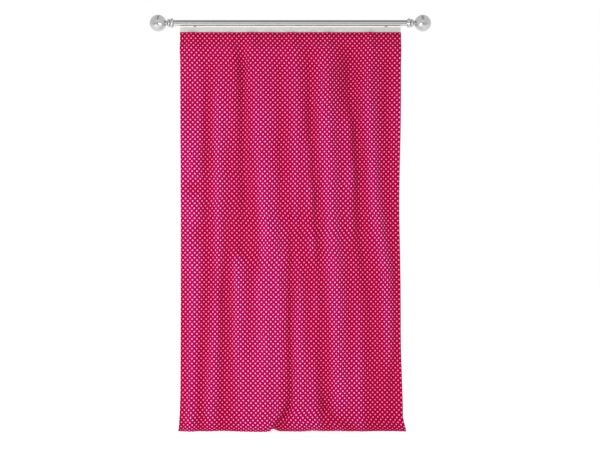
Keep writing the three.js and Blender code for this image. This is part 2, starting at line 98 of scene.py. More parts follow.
CLOTH_TOP = -0.0545
CLOTH_FRONT = -0.098
CLOTH_THICK = 0.0007
FLOOR_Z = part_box("bottom_hem")[0].z
CUT_WIDTH = 1.40
HEADING_HALF = 0.645
HEM_KICK = 0.130  # the stretch of cloth that turns onto the floor
SIDE_HEM = 0.025
BOTTOM_HEM = 0.075


def curved(low, high, value):
    """0 below low, 1 above high, and smooth between."""
    t = np.clip((value - low) / (high - low), 0, 1)
    return t * t * (3 - 2 * t)


TURN_ANGLE = math.radians(82)
STRAIGHT_STEPS = 32


def turned_hem(stretch):
    """(forward, down) after a stretch of the turn onto the floor."""
    forward = drop = 0.0
    for i in range(STRAIGHT_STEPS):
        turn = TURN_ANGLE * (stretch * (i + 0.5) / STRAIGHT_STEPS / HEM_KICK) ** 1.3
        forward += math.sin(turn) * stretch / STRAIGHT_STEPS
        drop += math.cos(turn) * stretch / STRAIGHT_STEPS
    return forward, drop


STRAIGHT = CLOTH_TOP - FLOOR_Z - turned_hem(HEM_KICK)[1] - 0.0022
CUT_LENGTH = STRAIGHT + HEM_KICK


# ---- Camera ----

camera = bpy.data.objects.new("camera", bpy.data.cameras.new("camera"))
camera.data.lens = 66.9
camera.data.clip_end = 60
camera.location = (0.0563, -6.6, -1.178)
camera.rotation_euler = (math.radians(90), 0, 0)
bpy.context.scene.collection.objects.link(camera)
bpy.context.scene.camera = camera


# ---- Materials ----


class Nodes:
    """A node tree, built one call at a time."""

    def __init__(self, tree):
        self.tree = tree

    def add(self, kind, inputs=None, **settings):
        node = self.tree.nodes.new("ShaderNode" + kind)
        for key, value in settings.items():
            setattr(node, key, value)
        for key, value in (inputs or {}).items():
            self.link_or_set(node.inputs[key], value)
        return node

    def link_or_set(self, socket, value):
        if isinstance(value, bpy.types.NodeSocket):
            self.tree.links.new(value, socket)
        else:
            socket.default_value = value

    def scaled(self, vector, scale):
        return self.add("Mapping", {"Vector": vector, "Scale": scale}).outputs["Vector"]

    def place(self, scale):
        """The surface's own coordinates, scaled."""
        return self.scaled(self.add("TexCoord").outputs["Object"], scale)

    def noise(self, vector, scale=1.0, detail=2.0):
        made = self.add("TexNoise", {"Vector": vector, "Scale": scale, "Detail": detail})
        return made.outputs["Fac"]

    def math(self, operation, a, b=0.0):
        made = self.add("Math", operation=operation)
        self.link_or_set(made.inputs[0], a)
        self.link_or_set(made.inputs[1], b)
        return made.outputs[0]

    def ranged(self, value, low, high, to_low, to_high, smooth=False):
        ends = {"From Min": low, "From Max": high, "To Min": to_low, "To Max": to_high, "Value": value}
        kind = "SMOOTHSTEP" if smooth else "LINEAR"
        return self.add("MapRange", ends, interpolation_type=kind).outputs["Result"]

    def band(self, value, low, high, soft):
        """1 where value lies between low and high, falling to 0 over soft beyond them."""
        ends = ((low - soft, low), (high + soft, high))
        return self.math("MULTIPLY", *(self.ranged(value, *end, 0.0, 1.0, smooth=True) for end in ends))

    def mix(self, factor, a, b):
        made = self.add("Mix", data_type="RGBA")
        self.link_or_set(made.inputs["Factor"], factor)
        self.link_or_set(made.inputs[6], a)
        self.link_or_set(made.inputs[7], b)
        return made.outputs[2]

    def bump(self, height, distance, strength=1.0, normal=None):
        inputs = {"Height": height, "Distance": distance, "Strength": strength}
        if normal is not None:
            inputs["Normal"] = normal
        return self.add("Bump", inputs).outputs["Normal"]


class Shader(Nodes):
    """A material and its nodes."""

    def __init__(self, name):
        self.material = bpy.data.materials.new(name)
        self.material.use_nodes = True
        super().__init__(self.material.node_tree)
        self.surface = self.tree.nodes["Principled BSDF"]

    def set(self, **values):
        for key, value in values.items():
            self.link_or_set(self.surface.inputs[key.replace("_", " ")], value)


def rgb(red, green, blue):
    return (red, green, blue, 1.0)


def grey(value):
    return rgb(value, value, value)


def turned_metal(name, tone, roughness, lines=900.0):
    """Satin plate with the fine rings that a lathe or a polishing belt leaves round the X axis."""
    s = Shader(name)
    rings = s.noise(s.place((lines, 5, 5)), detail=3)
    cloud = s.noise(s.place((14, 14, 14)), detail=4)
    shade = s.ranged(cloud, 0.3, 0.7, 0.94, 1.04)
    low, high = [rgb(*(c * k for c in tone)) for k in (0.94, 1.05)]
    s.set(Base_Color=s.mix(rings, low, high))
    polish = s.ranged(rings, 0.3, 0.7, roughness * 0.85, roughness * 1.2)
    s.set(Metallic=1.0, Roughness=s.math("MULTIPLY", polish, shade))
    s.set(Normal=s.bump(rings, 0.00002, 0.3))
    return s.material


def plated_steel(name, tone):
    """Zinc plate on a cast or pressed part: cloudy, with a fine grain."""
    s = Shader(name)
    cloud = s.noise(s.place((55, 55, 55)), detail=5)
    grain = s.noise(s.place((1600, 1600, 1600)), detail=2)
    low, high = [rgb(*(c * k for c in tone)) for k in (0.86, 1.06)]
    s.set(Base_Color=s.mix(cloud, low, high), Metallic=1.0, Roughness=s.ranged(cloud, 0.3, 0.7, 0.34, 0.46))
    s.set(Normal=s.bump(grain, 0.00008, 0.4))
    return s.material


def lacquer(name, low, high):
    """Baked lacquer over metal, with a faint orange peel."""
    s = Shader(name)
    peel = s.noise(s.place((500, 900, 900)), detail=2)
    drift = s.noise(s.place((3, 9, 9)), detail=3)
    s.set(Base_Color=s.mix(drift, rgb(*low), rgb(*high)))
    s.set(Roughness=s.ranged(drift, 0.3, 0.7, 0.42, 0.52), Normal=s.bump(peel, 0.00006, 0.35))
    return s.material


def nylon(name):
    """Moulded white nylon, slightly milky, with rubbed shiny patches."""
    s = Shader(name)
    flow = s.noise(s.place((160, 160, 160)), detail=3)
    grain = s.noise(s.place((2500, 2500, 2500)), detail=1)
    s.set(Base_Color=s.mix(flow, rgb(0.80, 0.79, 0.76), rgb(0.88, 0.875, 0.85)))
    s.set(Roughness=s.ranged(flow, 0.35, 0.65, 0.38, 0.55), Normal=s.bump(grain, 0.00004, 0.4))
    s.set(IOR=1.53)
    return s.material


def weave_height(s, uv, threads):
    """Plain weave: warp and weft threads that pass over and under each other."""
    checks = []
    for axis in ("X", "Y"):
        along = s.add("SeparateXYZ", {"Vector": uv}).outputs[axis]
        wave = s.math("SINE", s.math("MULTIPLY", along, threads * math.pi))
        checks.append(s.math("ABSOLUTE", wave))
    return s.math("MULTIPLY", *checks)


DOT_PITCH = 0.0287
DOT_SIZE = 0.0070
DOT_RIM = 0.0016  # how far the dye has bled round each dot
DOT_BLUR, RIM_BLUR = 0.0008, 0.0010


def dot_mask(s, uv, size, blur):
    """1 inside the dots of a staggered lattice, whose dots in each column stand one pitch apart."""
    turned = s.add("Mapping", {"Vector": uv, "Rotation": (0, 0, math.radians(45))}).outputs["Vector"]
    step = DOT_PITCH / math.sqrt(2)
    cells = s.add(
        "TexVoronoi",
        {"Vector": turned, "Scale": 1 / step, "Randomness": 0.0},
        voronoi_dimensions="2D",
        feature="F1",
    )
    away = s.math("MULTIPLY", cells.outputs["Distance"], step)
    return s.ranged(away, size / 2 + blur, size / 2 - blur, 0.0, 1.0, smooth=True)


def printed_cotton(name, ground, shaded_ground, dot, shaded_dot, rim, fade=0.0):
    """Cotton in flat metres (its UV map), printed with pale dots, into whose edges the dye has bled as a rim.

    The cloth's colour carries painted light and shade from the folds: the crests that face the room are
    paler, and the valleys and the top of the cloth darker. The cloth goes from the second colour, the painted
    shade, to ground there, and its dots from shaded_dot to dot. fade is how far the print is lost."""
    s = Shader(name)
    uv = s.add("UVMap", uv_map="flat").outputs["UV"]
    blur = s.noise(uv, scale=900, detail=2)
    dots = dot_mask(s, uv, DOT_SIZE, DOT_BLUR)
    bleeding = dot_mask(s, uv, DOT_SIZE + 2 * DOT_RIM, RIM_BLUR)
    dots = s.math("MULTIPLY", dots, s.ranged(blur, 0.2, 0.5, 0.86, 1.0))
    slub = s.noise(s.scaled(uv, (900, 25, 1)), detail=3)
    weft = s.noise(s.scaled(uv, (22, 800, 1)), detail=3)
    drift = s.noise(uv, scale=3.0, detail=3)
    # painted light and shade from the folds: paler on the crests that face the room, darker in the valleys
    # and at the top
    painted_light = s.add("Attribute", attribute_name="painted_light").outputs["Fac"]
    patchy_painted_light = s.math("MULTIPLY", painted_light, s.ranged(drift, 0.35, 0.65, 0.85, 1.1))
    body = s.mix(patchy_painted_light, shaded_ground, ground)
    dot = s.mix(patchy_painted_light, shaded_dot, dot)
    body = s.mix(s.ranged(slub, 0.3, 0.75, 0.0, 0.30), body, rgb(*(c * 0.62 for c in ground[:3])))
    body = s.mix(s.ranged(weft, 0.3, 0.75, 0.0, 0.22), body, rgb(0.56, 0.004, 0.09))
    body = s.mix(s.math("MULTIPLY", bleeding, 1.0 - fade), body, rim)
    colour = s.mix(s.math("MULTIPLY", dots, 1.0 - fade), body, dot)
    # painted shadow under the rail: the top 4 cm of the cloth is mixed up to 30% towards a near-black colour
    down = s.math("SUBTRACT", CUT_LENGTH, s.add("SeparateXYZ", {"Vector": uv}).outputs["Y"])
    rail_shadow = s.ranged(down, 0.004, 0.040, 0.30, 0.0, smooth=True)
    colour = s.mix(rail_shadow, colour, s.mix(0.5, shaded_ground, rgb(0.02, 0.0, 0.004)))
    weave = weave_height(s, uv, 1300)
    height = s.math("ADD", s.math("MULTIPLY", weave, 0.5), s.math("MULTIPLY", slub, 0.5))
    pressed = s.noise(s.scaled(uv, (16, 7, 1)), detail=4)
    soft = s.bump(pressed, 0.004, 0.35)
    s.set(Base_Color=colour, Roughness=s.ranged(slub, 0.3, 0.7, 0.78, 0.92))
    s.set(Normal=s.bump(height, 0.00012, 0.55, normal=soft))
    s.set(Sheen_Weight=0.10, Sheen_Roughness=0.5, Specular_IOR_Level=0.06)
    s.set(Sheen_Tint=rgb(1.0, 0.16, 0.50))
    return s.material


def woven_tape(name):
    """White polyester heading tape: ribbed along its length."""
    s = Shader(name)
    uv = s.add("UVMap", uv_map="flat").outputs["UV"]
    rib = s.noise(s.scaled(uv, (180, 2600, 1)), detail=2)
    weave = weave_height(s, uv, 1500)
    s.set(Base_Color=s.mix(rib, rgb(0.66, 0.65, 0.62), rgb(0.84, 0.83, 0.80)))
    s.set(Roughness=s.ranged(rib, 0.3, 0.7, 0.7, 0.9))
    s.set(Normal=s.bump(s.math("ADD", weave, rib), 0.0002, 0.6), Sheen_Weight=0.2)
    return s.material


def sewing_thread(name, light, dark):
    """Twisted thread, its strands slanting across the stitch."""
    s = Shader(name)
    twist = {"Vector": s.place((1, 1, 1)), "Scale": 1400, "Distortion": 1.0}
    strands = s.add("TexWave", twist, bands_direction="DIAGONAL").outputs["Fac"]
    s.set(Base_Color=s.mix(strands, dark, light), Roughness=s.ranged(strands, 0, 1, 0.55, 0.75))
    s.set(Normal=s.bump(strands, 0.0001, 0.6), Sheen_Weight=0.2)
    return s.material


NICKEL = turned_metal("satin_nickel", (0.52, 0.52, 0.525), 0.28)
NICKEL_POLE = turned_metal("satin_nickel_pole", (0.52, 0.52, 0.52), 0.13, lines=420.0)
STEEL = plated_steel("zinc_plate", (0.50, 0.51, 0.52))
WHITE_STEEL = lacquer("bracket_white_lacquer", (0.80, 0.80, 0.79), (0.88, 0.88, 0.87))
RAIL_COAT = lacquer("rail_powder_coat", (0.456, 0.447, 0.410), (0.504, 0.494, 0.455))
NYLON = nylon("white_nylon")
FRONT_PRINT = printed_cotton(
    "printed_cotton_front",
    rgb(0.285, 0.0010, 0.054),
    # painted shade: the cloth's colour in the valleys and along the top
    rgb(0.226, 0.0005, 0.017),
    rgb(1.0, 0.48, 0.82),
    # painted shade: the dots' colour in the valleys and along the top
    rgb(0.95, 0.23, 0.43),
    rim=rgb(0.90, 0.018, 0.19),
)
BACK_PRINT = printed_cotton(
    "printed_cotton_reverse",
    rgb(0.52, 0.085, 0.17),
    # painted shade: the reverse's colour in the valleys and along the top
    rgb(0.45, 0.07, 0.145),
    rgb(0.74, 0.52, 0.58),
    # painted shade: the reverse's dots in the valleys and along the top
    rgb(0.70, 0.44, 0.52),
    rim=rgb(0.60, 0.17, 0.27),
    fade=0.35,
)
TAPE = woven_tape("woven_heading_tape")
CORD = sewing_thread("draw_cord", rgb(0.80, 0.79, 0.76), rgb(0.62, 0.61, 0.58))
THREAD = sewing_thread("sewing_thread", rgb(0.52, 0.02, 0.10), rgb(0.30, 0.005, 0.04))


# ---- Mesh helpers ----


@contextlib.contextmanager
def editing(mesh):
    edit = bmesh.new()
    edit.from_mesh(mesh)
    yield edit
    edit.to_mesh(mesh)
    edit.free()


def link_mesh(name, vertices, faces, *materials, crease=35):
    """A smooth-shaded object whose edges sharper than crease degrees stay hard."""
    mesh = bpy.data.meshes.new(name)
    mesh.from_pydata([tuple(v) for v in vertices], [], [tuple(f) for f in faces])
    for material in materials:
        mesh.materials.append(material)
    made = bpy.data.objects.new(name, mesh)
    bpy.context.scene.collection.objects.link(made)
    shade(made, crease)
    return made


def shade(made, crease):
    with editing(made.data) as edit:
        for face in edit.faces:
            face.smooth = True
        for edge in edit.edges:
            edge.smooth = len(edge.link_faces) == 2 and edge.calc_face_angle(0.0) < math.radians(crease)


def stands_for(piece, node):
    """The piece takes a frame node's place and its body."""
    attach(piece, frame["nodes"][node]["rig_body"])
    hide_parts(node)
    return piece


def turned(name, node, profile, side, material, steps=120):
    """A closed profile of (distance from the pole's end, radius), turned about the pole's axis."""
    vertices = []
    for away, radius in profile:
        x = side * (POLE_HALF + away)
        for i in range(steps):
            angle = 2 * math.pi * i / steps
            vertices.append((x, POLE_Y + radius * math.cos(angle), radius * math.sin(angle)))
    faces = []
    count = len(profile)
    for j in range(count):
        k = (j + 1) % count
        for i in range(steps):
            n = (i + 1) % steps
            face = (j * steps + i, j * steps + n, k * steps + n, k * steps + i)
            faces.append(face if side < 0 else face[::-1])
    piece = link_mesh(name, vertices, faces, material)
    clean(piece)
    return stands_for(piece, node)


def clean(piece, distance=1e-6):
    with editing(piece.data) as edit:
        bmesh.ops.remove_doubles(edit, verts=edit.verts, dist=distance)
        bmesh.ops.recalc_face_normals(edit, faces=edit.faces)


def cut_away(piece, *tools):
    """Drills the tools' shapes out of the piece, and removes them."""
    for tool in tools:
        modifier = piece.modifiers.new("hole", "BOOLEAN")
        modifier.object = tool
        modifier.solver = "EXACT"
        bpy.context.view_layer.objects.active = piece
        bpy.ops.object.modifier_apply(modifier=modifier.name)
        bpy.data.objects.remove(tool)
    shade(piece, 35)


def drill(centre, radius, length, axis):
    """A round tool for cut_away, along axis."""
    edit = bmesh.new()
    bmesh.ops.create_cone(edit, cap_ends=True, segments=32, radius1=radius, radius2=radius, depth=length)
    mesh = bpy.data.meshes.new("drill")
    edit.to_mesh(mesh)
    edit.free()
    tool = bpy.data.objects.new("drill", mesh)
    tool.rotation_euler = Vector(axis).to_track_quat("Z", "Y").to_euler()
    tool.location = centre
    bpy.context.scene.collection.objects.link(tool)
    bpy.context.view_layer.update()
    return tool


def softened(node, material, radius=0.0004, segments=2, sharp=28):
    """A node's own shape with its edges rounded off."""
    mesh = frame["nodes"][node].data.copy()
    mesh.name = node + "_softened"
    mesh.materials.clear()
    mesh.materials.append(material)
    with editing(mesh) as edit:
        bmesh.ops.remove_doubles(edit, verts=edit.verts, dist=1e-6)
        limit = math.radians(1.0)
        bmesh.ops.dissolve_limit(edit, angle_limit=limit, verts=edit.verts, edges=edit.edges)
        limit = math.radians(sharp)
        corners = [e for e in edit.edges if len(e.link_faces) == 2 and e.calc_face_angle(0.0) > limit]
        bevel = {"offset": radius, "segments": segments, "profile": 0.5, "affect": "EDGES"}
        bmesh.ops.bevel(edit, geom=corners, clamp_overlap=True, **bevel)
        for face in edit.faces:
            face.material_index = 0
    piece = bpy.data.objects.new(node + "_finish", mesh)
    bpy.context.scene.collection.objects.link(piece)
    shade(piece, 50)
    stands_for(piece, node)


def arc(centre, radius, start, end, steps):
    """Points of an arc, angles in degrees."""
    turns = [math.radians(start + (end - start) * i / steps) for i in range(steps + 1)]
    return [(centre[0] + radius * math.cos(t), centre[1] + radius * math.sin(t)) for t in turns]


# ---- Pole and finials ----


def make_pole():
    inner, soft = POLE_R - POLE_WALL, 0.0004
    outline = [
        (-soft, POLE_R), (0, POLE_R - soft), (0, inner), (-2 * POLE_HALF, inner),
        (-2 * POLE_HALF, POLE_R - soft), (-2 * POLE_HALF + soft, POLE_R),
    ]
    pole = turned("pole", "pole_tube", outline, 1, NICKEL_POLE, steps=128)
    for side in (-1, 1):
        at = (side * (POLE_HALF - 0.020), POLE_Y, -POLE_R)
        cut_away(pole, drill(at, 0.0028, 0.012, (0, 0, 1)))


def bead(at, half, foot, crest, steps=18):
    """A rounded bead on a turned collar."""
    turns = [math.pi * i / steps for i in range(steps + 1)]
    return [(at - half * math.cos(t), foot + (crest - foot) * math.sin(t)) for t in turns]


def make_neck(side, end):
    bore = 0.0043
    outline = [
        (0.0003, bore), (0.0003, 0.0200), (0.0006, 0.0205), *bead(0.0112, 0.0092, 0.0208, 0.0288),
        *bead(0.0293, 0.0078, 0.0178, 0.0242), (0.0380, 0.0160), (0.0392, 0.0146), (0.0410, NECK_R),
        (0.0448, NECK_R), (0.0453, NECK_R - 0.0004), (0.0453, bore),
    ]
    turned(f"finial_neck_{end}_turned", f"finial_neck_{end}", outline, side, NICKEL)


def make_ball(side, end):
    """A spun shell, with the fine joint line of its two halves round the middle."""
    inner = BALL_R - 0.0015
    boss, bore = 0.009, 0.0043
    shell = []
    from_neck = 180 - math.degrees(math.asin(NECK_R / BALL_R))
    for away, radius in arc((BALL_AT, 0), BALL_R, from_neck, 0, 72):
        groove = 0.00022 * math.exp(-(((away - BALL_AT) / 0.0005) ** 2))
        shell.append((away, max(radius - groove, 0.00001)))
    inside = arc((BALL_AT, 0), inner, 0, 180 - math.degrees(math.asin(boss / inner)), 40)
    outline = [
        (BALL_AT - math.sqrt(BALL_R**2 - NECK_R**2), bore),
        *shell,
        *[(away, max(radius, 0.00001)) for away, radius in inside],
        (0.058, boss),
        (0.058, bore),
    ]
    turned(f"finial_ball_{end}_spun", f"finial_ball_{end}", outline, side, NICKEL, steps=144)


make_pole()
for side, end in ((-1, "left"), (1, "right")):
    make_neck(side, end)
    make_ball(side, end)
    softened(f"finial_spigot_{end}", STEEL, 0.0003)
    softened(f"finial_stud_{end}", STEEL, 0.0002)
    softened(f"finial_set_screw_{end}", STEEL, 0.0003)


# ---- Rail and brackets ----


def rounded(outline, radius, steps=4):
    """An outline of points with each corner rounded by up to radius."""
    made = []
    count = len(outline)
    for i in range(count):
        before, corner, after = (np.array(outline[(i + k) % count]) for k in (-1, 0, 1))
        sides = [(end - corner, np.linalg.norm(end - corner)) for end in (before, after)]
        reach = min(radius, *(length * 0.45 for _, length in sides))
        start, stop = (corner + side / length * reach for side, length in sides)
        for k in range(steps + 1):
            t = k / steps
            made.append((1 - t) ** 2 * start + 2 * t * (1 - t) * corner + t * t * stop)
    return made


def make_rail():
    front, back, top, bottom = -0.0955, -0.0775, -0.024, RAIL_BOTTOM
    wall, half, web = 0.0014, 0.003, -0.0376
    slot = (top + web) / 2
    lips = bottom + wall
    outline = [
        (front, top), (front, bottom), (RAIL_Y - half, bottom), (RAIL_Y - half, lips),
        (front + wall, lips), (front + wall, web - wall / 2), (back - wall, web - wall / 2),
        (back - wall, lips), (RAIL_Y + half, lips), (RAIL_Y + half, bottom), (back, bottom),
        (back, slot - half), (back - wall, slot - half), (back - wall, web + wall / 2),
        (front + wall, web + wall / 2), (front + wall, top - wall), (back - wall, top - wall),
        (back - wall, slot + half), (back, slot + half), (back, top),
    ]
    section = rounded(outline, 0.0006)
    count = len(section)
    ends = [-RAIL_HALF + 0.0003, RAIL_HALF - 0.0003]
    vertices = [(x, y, z) for x in ends for y, z in section]
    faces = [(i, (i + 1) % count, count + (i + 1) % count, count + i) for i in range(count)]
    faces += [tuple(range(count))[::-1], tuple(range(count, 2 * count))]
    rail = link_mesh("rail_coated", vertices, faces, RAIL_COAT)
    clean(rail)
    stands_for(rail, "glider_rail")


make_rail()
FITTINGS = [
    ("rail_end_cap", NYLON, 0.0005, 3),
    ("wall_plate", WHITE_STEEL, 0.0006, 3),
    ("bracket_arm", WHITE_STEEL, 0.0007, 3),
    ("pole_saddle", WHITE_STEEL, 0.0005, 2),
    ("pole_bolt", STEEL, 0.0003, 2),
    ("rail_clip", NYLON, 0.0005, 2),
    ("rail_bolt", STEEL, 0.0003, 2),
]
for end in ("left", "right"):
    for fitting, *finish in FITTINGS:
        softened(f"{fitting}_{end}", *finish)
softened("end_stop", NYLON, 0.0004, 3)
softened("end_stop_screw", STEEL, 0.0002)
for n in range(1, HOOKS):
    softened(f"glider_{n:02d}", NYLON, 0.0004, 3)


# ---- Hooks ----


def tube(rings, sides, base=0):
    """Faces of a bar with closed ends, made of rings of points."""
    made = []
    for ring in range(base, base + (rings - 1) * sides, sides):
        for k in range(sides):
            n = (k + 1) % sides
            made.append((ring + k, ring + n, ring + sides + n, ring + sides + k))
    last = base + (rings - 1) * sides
    return [*made, tuple(range(base, base + sides))[::-1], tuple(range(last, last + sides))]


def swept(path, radius, sides):
    """Vertices and faces of a round bar along a path of points."""
    path = [Vector(p) for p in path]
    vertices = []
    reference = Vector((1, 0, 0))
    for i, p in enumerate(path):
        ahead = path[min(i + 1, len(path) - 1)] - path[max(i - 1, 0)]
        ahead.normalize()
        across = reference - ahead * reference.dot(ahead)
        if across.length < 0.2:
            across = Vector((0, 0, 1)) - ahead * ahead.z
        across.normalize()
        up = ahead.cross(across)
        for k in range(sides):
            turn = 2 * math.pi * k / sides
            vertices.append(p + (across * math.cos(turn) + up * math.sin(turn)) * radius)
    return vertices, tube(len(path), sides)


def eased(points, steps=5):
    """A smooth path through points."""
    p = [np.array(q, float) for q in points]
    p = [2 * p[0] - p[1], *p, 2 * p[-1] - p[-2]]
    made = []
    for i in range(1, len(p) - 2):
        for k in range(steps):
            t = k / steps
            a, b, c, d = p[i - 1 : i + 3]
            square, cube = 2 * a - 5 * b + 4 * c - d, 3 * b - a - 3 * c + d
            made.append(0.5 * (2 * b + (c - a) * t + square * t**2 + cube * t**3))
    return [*made, p[-2]]


def hook_path():
    """The wire's middle line in (y, z): open loop over the eye's rim, shank, bend and prong."""
    loop_half, turn, gap = 0.0036, 0.0018, 0.0003
    top = EYE_Z - EYE_R + WIRE_R + gap
    legs = loop_half - turn
    shank = RAIL_Y - loop_half
    bend = (shank - PRONG_Y) / 2
    return [
        (RAIL_Y + loop_half, top - 0.0080), (RAIL_Y + loop_half, top - 0.0045),
        *arc((RAIL_Y + legs, top - turn), turn, 0, 90, 4),
        *arc((RAIL_Y - legs, top - turn), turn, 90, 180, 4), (shank, top - 0.0080),
        (shank, -0.0760), *arc(((shank + PRONG_Y) / 2, -0.0800), bend, 0, -180, 7),
        (PRONG_Y, -0.0745), (PRONG_Y, -0.0700), (PRONG_Y, -0.0690),
    ]


def make_hook(n):
    x = FIRST_HOOK_X + n * HOOK_STEP
    path = [(x, y, z) for y, z in eased(hook_path(), 3)]
    vertices, faces = swept(path, WIRE_R, 12)
    hook = link_mesh(f"hook_wire_{n:02d}", vertices, faces, NYLON, crease=60)
    clean(hook)
    stands_for(hook, f"curtain_hook_{n:02d}")


for n in range(HOOKS):
    make_hook(n)


# ---- The cloth's shape ----
#
# Heights are shares of the drop, 0 at the top edge and 1 at the floor. Places across are shares of the width,
# 0 at the left edge. Each fold is a ridge towards the room or a valley (negative depth), given at a few
# heights as (height, place, half-width, depth). Depths are relative: every row is scaled until its folds take
# up the cloth's spare width.

FOLDS = [
    # left edge: a broad ridge, then the first valley and the brightest narrow ridge
    [(0, 0.05, 0.04, 0.3), (0.25, 0.045, 0.04, 0.5), (0.6, 0.05, 0.04, 0.7), (1, 0.04, 0.035, 0.6)],
    [(0.05, 0.11, 0.022, -0.3), (0.22, 0.108, 0.02, -1), (0.4, 0.105, 0.02, -0.5),
     (0.6, 0.1, 0.02, -0.5), (1, 0.08, 0.02, -0.7)],
    [(0.1, 0.16, 0.02, 0.3), (0.3, 0.16, 0.022, 1), (0.6, 0.158, 0.022, 1.3),
     (0.92, 0.136, 0.03, 0.9)],
    [(0.3, 0.205, 0.02, -0.4), (0.6, 0.205, 0.022, -0.5), (0.92, 0.185, 0.024, -0.4)],
    # the dark valley that starts at the heading
    [(0, 0.268, 0.018, -2.3), (0.12, 0.268, 0.02, -2), (0.38, 0.275, 0.026, -0.9),
     (0.52, 0.285, 0.026, -0.3)],
    [(0.6, 0.245, 0.03, 0.5), (0.8, 0.26, 0.036, 0.7), (1, 0.27, 0.04, 0.4)],
    [(0, 0.34, 0.035, 0.5), (0.3, 0.35, 0.035, 0.5), (0.55, 0.39, 0.04, 1), (1, 0.36, 0.045, 0.9)],
    [(0.1, 0.445, 0.025, -0.4), (0.33, 0.447, 0.025, -0.9), (0.48, 0.45, 0.02, -0.3)],
    [(0.58, 0.435, 0.026, 0.5), (0.75, 0.44, 0.028, 0.8), (0.93, 0.43, 0.03, 0.6)],
    # the narrow middle ridge, which turns into the long sharp crease
    [(0.05, 0.512, 0.018, 0.8), (0.3, 0.513, 0.018, 1.1), (0.52, 0.516, 0.018, 0.6),
     (0.66, 0.53, 0.025, 0.9), (1, 0.545, 0.03, 0.7)],
    [(0.46, 0.492, 0.01, -0.5), (0.58, 0.49, 0.01, -1.4), (0.75, 0.486, 0.011, -1.9),
     (0.91, 0.484, 0.011, -2.2), (0.945, 0.476, 0.012, -2.2), (0.97, 0.456, 0.013, -2.3),
     (0.99, 0.424, 0.015, -2.2), (1, 0.405, 0.018, -1.6)],
    [(0, 0.575, 0.025, -0.9), (0.22, 0.575, 0.025, -1.1), (0.4, 0.605, 0.022, -0.9),
     (0.65, 0.635, 0.02, -0.8), (0.92, 0.64, 0.022, -0.5)],
    # the strong lit ridge right of the middle
    [(0, 0.645, 0.03, 0.7), (0.3, 0.672, 0.03, 1.3), (0.6, 0.697, 0.03, 1.4), (0.9, 0.71, 0.036, 1)],
    [(0, 0.755, 0.038, -1.6), (0.16, 0.76, 0.036, -1.5), (0.3, 0.8, 0.028, -1.4),
     (0.52, 0.815, 0.026, -1.2), (0.72, 0.865, 0.028, -1), (1, 0.88, 0.03, -0.6)],
    [(0, 0.845, 0.02, 0.7), (0.15, 0.848, 0.02, 1.1), (0.45, 0.885, 0.022, 1.7),
     (0.62, 0.925, 0.022, 1.6), (0.8, 0.935, 0.022, 1.1)],
    [(0.62, 0.785, 0.024, 0.5), (0.85, 0.795, 0.028, 0.7), (1, 0.8, 0.03, 0.3)],
    [(0, 0.93, 0.022, -0.5), (0.2, 0.922, 0.022, -1.2), (0.38, 0.94, 0.02, -0.5),
     (0.7, 0.975, 0.016, -0.4), (0.88, 0.945, 0.02, -1.2), (1, 0.93, 0.02, -0.5)],
    # small creases that sweep out to the hem
    [(0.9, 0.63, 0.01, -0.3), (0.93, 0.632, 0.011, -1.5), (0.955, 0.645, 0.011, -2),
     (0.975, 0.68, 0.012, -2.2), (0.99, 0.735, 0.014, -1.6), (1, 0.77, 0.016, -0.8)],
    [(0.8, 0.585, 0.02, 0.4), (0.92, 0.59, 0.022, 0.8), (1, 0.6, 0.03, 0.6)],
    [(0.93, 0.27, 0.02, 0.2), (0.965, 0.32, 0.024, -0.5), (0.99, 0.36, 0.03, -0.4)],
]

# soft swells and dents along the folds: (height, place, half-height, half-width, depth)
SWELLS = [
    (0.33, 0.05, 0.04, 0.032, 0.8), (0.45, 0.055, 0.025, 0.032, 0.7), (0.39, 0.045, 0.022, 0.03, -0.9),
    (0.18, 0.04, 0.06, 0.028, -0.7), (0.51, 0.062, 0.025, 0.026, -0.7),
    (0.66, 0.18, 0.045, 0.022, -0.8), (0.61, 0.25, 0.04, 0.03, 0.9), (0.74, 0.255, 0.06, 0.028, 0.7),
    (0.54, 0.265, 0.025, 0.028, -0.9), (0.4, 0.285, 0.035, 0.022, -0.6), (0.36, 0.42, 0.06, 0.03, 0.4),
    (0.52, 0.418, 0.035, 0.036, 1), (0.64, 0.345, 0.035, 0.026, 0.8), (0.63, 0.43, 0.035, 0.024, 0.8),
    (0.78, 0.38, 0.06, 0.024, 0.8), (0.58, 0.4, 0.018, 0.045, -0.7), (0.31, 0.575, 0.025, 0.018, 0.6),
    (0.41, 0.585, 0.04, 0.02, 0.8), (0.53, 0.59, 0.035, 0.022, 0.9), (0.68, 0.602, 0.045, 0.022, 0.8),
    (0.21, 0.585, 0.05, 0.022, -0.8), (0.235, 0.757, 0.045, 0.024, 0.9),
    (0.36, 0.768, 0.035, 0.024, 0.8), (0.48, 0.765, 0.035, 0.02, 0.5), (0.33, 0.868, 0.03, 0.022, 0.6),
    (0.48, 0.902, 0.035, 0.024, 0.8), (0.61, 0.932, 0.03, 0.02, 0.6),
]

# places where the hem lifts off the floor: (place, half-width, how far)
LIFTS = [(0.425, 0.022, 0.012), (0.60, 0.045, 0.006), (0.71, 0.03, 0.004), (0.19, 0.05, 0.003)]

FOLD_SHIFT = 0.0135  # share of the width by which every fold and swell stands further towards +X
USUAL_HALF = 0.022  # a fold of this half-width has the depth that its row states


